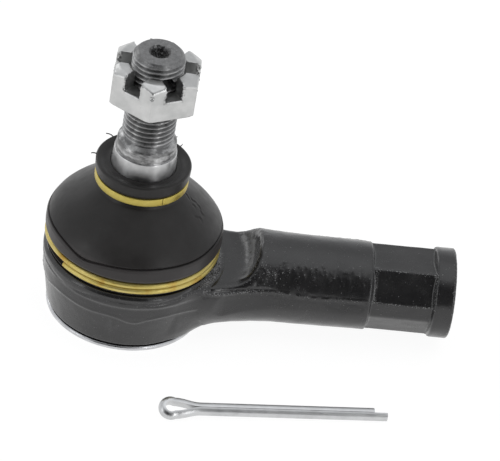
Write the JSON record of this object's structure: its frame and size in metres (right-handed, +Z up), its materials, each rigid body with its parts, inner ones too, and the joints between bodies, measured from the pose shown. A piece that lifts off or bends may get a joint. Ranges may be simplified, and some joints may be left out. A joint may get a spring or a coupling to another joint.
{
  "type": "outer tie rod end",
  "caption": "Outer tie rod end: forged housing and shank, booted ball stud with a castle nut, and a loose split pin.",
  "frame": {"origin": "centre of the cover plate's flat outer face, which the part stands on", "axes": "+Z up the ball stud's axis at rest, +X along the shank towards its threaded end"},
  "size_m": [0.0955, 0.0629, 0.0718],
  "materials": {
    "black_paint": "glossy black paint over a rough forging",
    "bare_steel": "turned",
    "spring_steel": "oiled",
    "seat_plastic": "moulded",
    "stud_steel": "turned and rolled thread, polished taper",
    "nut_zinc": "bright zinc",
    "boot_rubber": "satin moulded rubber",
    "yellow_zinc": "yellow zinc",
    "pin_steel": "bright zinc"
  },
  "bodies": {
    "housing": {"housing": "black_paint", "cover_plate": "bare_steel", "preload_spring": "spring_steel", "lower_ball_seat": "seat_plastic", "upper_ball_seat": "seat_plastic", "lower_clamp_ring": "yellow_zinc"},
    "boot": {"dust_boot": "boot_rubber"},
    "boot_neck": {"upper_clamp_ring": "yellow_zinc"},
    "stud": {"ball_stud": "stud_steel"},
    "nut": {"castle_nut": "nut_zinc"},
    "split_pin": {"split_pin": "pin_steel"}
  },
  "joints": [
    {"name": "tilt_x", "type": "hinge", "parent": "housing", "child": "boot", "pos_m": [0, 0, 0.012], "axis": [1, 0, 0], "range_deg": [-20, 20], "deforming": ["dust_boot"]},
    {"name": "tilt_y", "type": "hinge", "parent": "boot", "child": "boot_neck", "pos_m": [0, 0, 0.012], "axis": [0, 1, 0], "range_deg": [-20, 20]},
    {"name": "stud_spin", "type": "hinge", "parent": "boot_neck", "child": "stud", "pos_m": [0, 0, 0.012], "axis": [0, 0, 1], "continuous": true},
    {"name": "nut_turn", "type": "hinge", "parent": "stud", "child": "nut", "pos_m": [0, 0, 0.0642], "axis": [0, 0, 1], "continuous": true},
    {"name": "pin_lift", "type": "slide", "parent": "housing", "child": "split_pin", "axis": [0, 0, 1], "range_m": [0, 0.05]}
  ]
}
